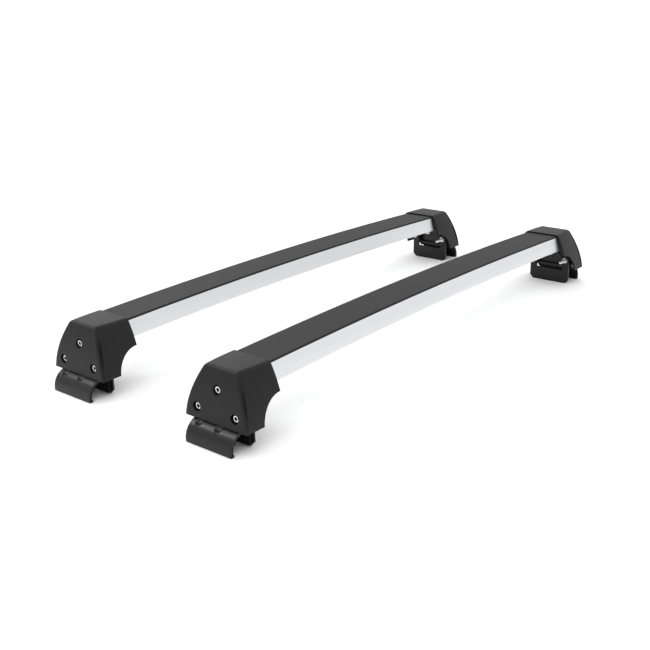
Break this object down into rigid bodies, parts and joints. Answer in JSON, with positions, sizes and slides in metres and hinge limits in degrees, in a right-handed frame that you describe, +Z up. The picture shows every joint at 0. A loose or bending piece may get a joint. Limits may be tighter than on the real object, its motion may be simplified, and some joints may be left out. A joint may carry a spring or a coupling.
{
  "type": "roof rack",
  "caption": "Roof rack of arched aluminium crossbars with a rubber top strip, on moulded clamp feet whose bolt-driven jaws grip raised roof rails.",
  "frame": {"origin": "on the floor under the middle of the set, which stands on the lower edges of its clamp jaws", "axes": "+X along the bars, across the car; +Y from the front bar to the rear bar; +Z up"},
  "size_m": [1.012, 0.4044, 0.1125],
  "materials": {
    "bar_aluminium": "satin anodised",
    "strip_rubber": "smooth matte",
    "foot_plastic": "fine grain",
    "clamp_steel": "black powder coat",
    "grip_rubber": "matte",
    "fastener_steel": "bright zinc plate"
  },
  "bodies": {
    "rack": {"front_crossbar": "bar_aluminium", "front_top_strip": "strip_rubber", "front_left_foot_cover": "foot_plastic", "front_left_foot_bracket": "clamp_steel", "front_left_rail_pad": "grip_rubber", "front_left_outer_jaw": "clamp_steel", "front_left_outer_jaw_liner": "grip_rubber", "front_left_clamp_washers": "fastener_steel", "front_left_cover_screw": "fastener_steel", "front_left_bar_screws": "fastener_steel", "front_right_foot_cover": "foot_plastic", "front_right_foot_bracket": "clamp_steel", "front_right_rail_pad": "grip_rubber", "front_right_outer_jaw": "clamp_steel", "front_right_outer_jaw_liner": "grip_rubber", "front_right_clamp_washers": "fastener_steel", "front_right_cover_screw": "fastener_steel", "front_right_bar_screws": "fastener_steel", "rear_crossbar": "bar_aluminium", "rear_top_strip": "strip_rubber", "rear_left_foot_cover": "foot_plastic", "rear_left_foot_bracket": "clamp_steel", "rear_left_rail_pad": "grip_rubber", "rear_left_outer_jaw": "clamp_steel", "rear_left_outer_jaw_liner": "grip_rubber", "rear_left_clamp_washers": "fastener_steel", "rear_left_cover_screw": "fastener_steel", "rear_left_bar_screws": "fastener_steel", "rear_right_foot_cover": "foot_plastic", "rear_right_foot_bracket": "clamp_steel", "rear_right_rail_pad": "grip_rubber", "rear_right_outer_jaw": "clamp_steel", "rear_right_outer_jaw_liner": "grip_rubber", "rear_right_clamp_washers": "fastener_steel", "rear_right_cover_screw": "fastener_steel", "rear_right_bar_screws": "fastener_steel"},
    "front_left_clamp_jaw": {"front_left_inner_jaw": "clamp_steel", "front_left_inner_jaw_pad": "grip_rubber", "front_left_clamp_nuts": "fastener_steel"},
    "front_left_front_clamp_bolt_body": {"front_left_front_clamp_bolt": "fastener_steel"},
    "front_left_rear_clamp_bolt_body": {"front_left_rear_clamp_bolt": "fastener_steel"},
    "front_right_clamp_jaw": {"front_right_inner_jaw": "clamp_steel", "front_right_inner_jaw_pad": "grip_rubber", "front_right_clamp_nuts": "fastener_steel"},
    "front_right_front_clamp_bolt_body": {"front_right_front_clamp_bolt": "fastener_steel"},
    "front_right_rear_clamp_bolt_body": {"front_right_rear_clamp_bolt": "fastener_steel"},
    "rear_left_clamp_jaw": {"rear_left_inner_jaw": "clamp_steel", "rear_left_inner_jaw_pad": "grip_rubber", "rear_left_clamp_nuts": "fastener_steel"},
    "rear_left_front_clamp_bolt_body": {"rear_left_front_clamp_bolt": "fastener_steel"},
    "rear_left_rear_clamp_bolt_body": {"rear_left_rear_clamp_bolt": "fastener_steel"},
    "rear_right_clamp_jaw": {"rear_right_inner_jaw": "clamp_steel", "rear_right_inner_jaw_pad": "grip_rubber", "rear_right_clamp_nuts": "fastener_steel"},
    "rear_right_front_clamp_bolt_body": {"rear_right_front_clamp_bolt": "fastener_steel"},
    "rear_right_rear_clamp_bolt_body": {"rear_right_rear_clamp_bolt": "fastener_steel"}
  },
  "joints": [
    {"name": "front_left_front_clamp_screw", "type": "hinge", "parent": "rack", "child": "front_left_front_clamp_bolt_body", "pos_m": [-0.478, -0.18, 0.048], "axis": [1, 0, 0], "range_deg": [-4320, 2520]},
    {"name": "front_left_rear_clamp_screw", "type": "hinge", "parent": "rack", "child": "front_left_rear_clamp_bolt_body", "pos_m": [-0.478, -0.11, 0.048], "axis": [1, 0, 0], "range_deg": [-4320, 2520]},
    {"name": "front_left_jaw_slide", "type": "slide", "parent": "rack", "child": "front_left_clamp_jaw", "axis": [-1, 0, 0], "range_m": [-0.012, 0.007]},
    {"name": "front_right_front_clamp_screw", "type": "hinge", "parent": "rack", "child": "front_right_front_clamp_bolt_body", "pos_m": [0.478, -0.18, 0.048], "axis": [-1, 0, 0], "range_deg": [-4320, 2520]},
    {"name": "front_right_rear_clamp_screw", "type": "hinge", "parent": "rack", "child": "front_right_rear_clamp_bolt_body", "pos_m": [0.478, -0.11, 0.048], "axis": [-1, 0, 0], "range_deg": [-4320, 2520]},
    {"name": "front_right_jaw_slide", "type": "slide", "parent": "rack", "child": "front_right_clamp_jaw", "axis": [1, 0, 0], "range_m": [-0.012, 0.007]},
    {"name": "rear_left_front_clamp_screw", "type": "hinge", "parent": "rack", "child": "rear_left_front_clamp_bolt_body", "pos_m": [-0.478, 0.11, 0.048], "axis": [1, 0, 0], "range_deg": [-4320, 2520]},
    {"name": "rear_left_rear_clamp_screw", "type": "hinge", "parent": "rack", "child": "rear_left_rear_clamp_bolt_body", "pos_m": [-0.478, 0.18, 0.048], "axis": [1, 0, 0], "range_deg": [-4320, 2520]},
    {"name": "rear_left_jaw_slide", "type": "slide", "parent": "rack", "child": "rear_left_clamp_jaw", "axis": [-1, 0, 0], "range_m": [-0.012, 0.007]},
    {"name": "rear_right_front_clamp_screw", "type": "hinge", "parent": "rack", "child": "rear_right_front_clamp_bolt_body", "pos_m": [0.478, 0.11, 0.048], "axis": [-1, 0, 0], "range_deg": [-4320, 2520]},
    {"name": "rear_right_rear_clamp_screw", "type": "hinge", "parent": "rack", "child": "rear_right_rear_clamp_bolt_body", "pos_m": [0.478, 0.18, 0.048], "axis": [-1, 0, 0], "range_deg": [-4320, 2520]},
    {"name": "rear_right_jaw_slide", "type": "slide", "parent": "rack", "child": "rear_right_clamp_jaw", "axis": [1, 0, 0], "range_m": [-0.012, 0.007]}
  ],
  "couplings": [
    {"joint": "front_left_front_clamp_screw", "follows": "front_left_jaw_slide", "rad_per_m": 6283.2},
    {"joint": "front_left_rear_clamp_screw", "follows": "front_left_jaw_slide", "rad_per_m": 6283.2},
    {"joint": "front_right_front_clamp_screw", "follows": "front_right_jaw_slide", "rad_per_m": 6283.2},
    {"joint": "front_right_rear_clamp_screw", "follows": "front_right_jaw_slide", "rad_per_m": 6283.2},
    {"joint": "rear_left_front_clamp_screw", "follows": "rear_left_jaw_slide", "rad_per_m": 6283.2},
    {"joint": "rear_left_rear_clamp_screw", "follows": "rear_left_jaw_slide", "rad_per_m": 6283.2},
    {"joint": "rear_right_front_clamp_screw", "follows": "rear_right_jaw_slide", "rad_per_m": 6283.2},
    {"joint": "rear_right_rear_clamp_screw", "follows": "rear_right_jaw_slide", "rad_per_m": 6283.2}
  ]
}
